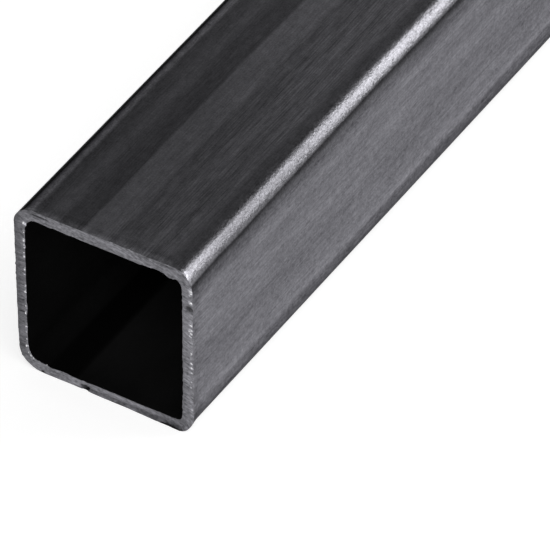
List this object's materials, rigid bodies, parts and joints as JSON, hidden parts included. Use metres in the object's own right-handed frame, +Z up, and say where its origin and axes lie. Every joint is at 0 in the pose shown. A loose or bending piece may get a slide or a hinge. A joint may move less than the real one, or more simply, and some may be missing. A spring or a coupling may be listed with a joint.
{
  "type": "square steel tube",
  "caption": "Straight square hollow section of dark mill-finish steel with rounded corners, an open bore and square sawn ends, for frames, legs and brackets.",
  "frame": {"origin": "on the surface that the tube lies on, below the middle of its length and width", "axes": "+Y along the tube, away from the sawn end that the camera sees; +Z up; +X to the right"},
  "size_m": [0.05, 1, 0.05],
  "materials": {
    "mill_steel": "dark mill finish with lengthwise rolling streaks, satin; bare sawn metal on the ends"
  },
  "bodies": {
    "root": {"square_tube": "mill_steel"}
  },
  "joints": []
}
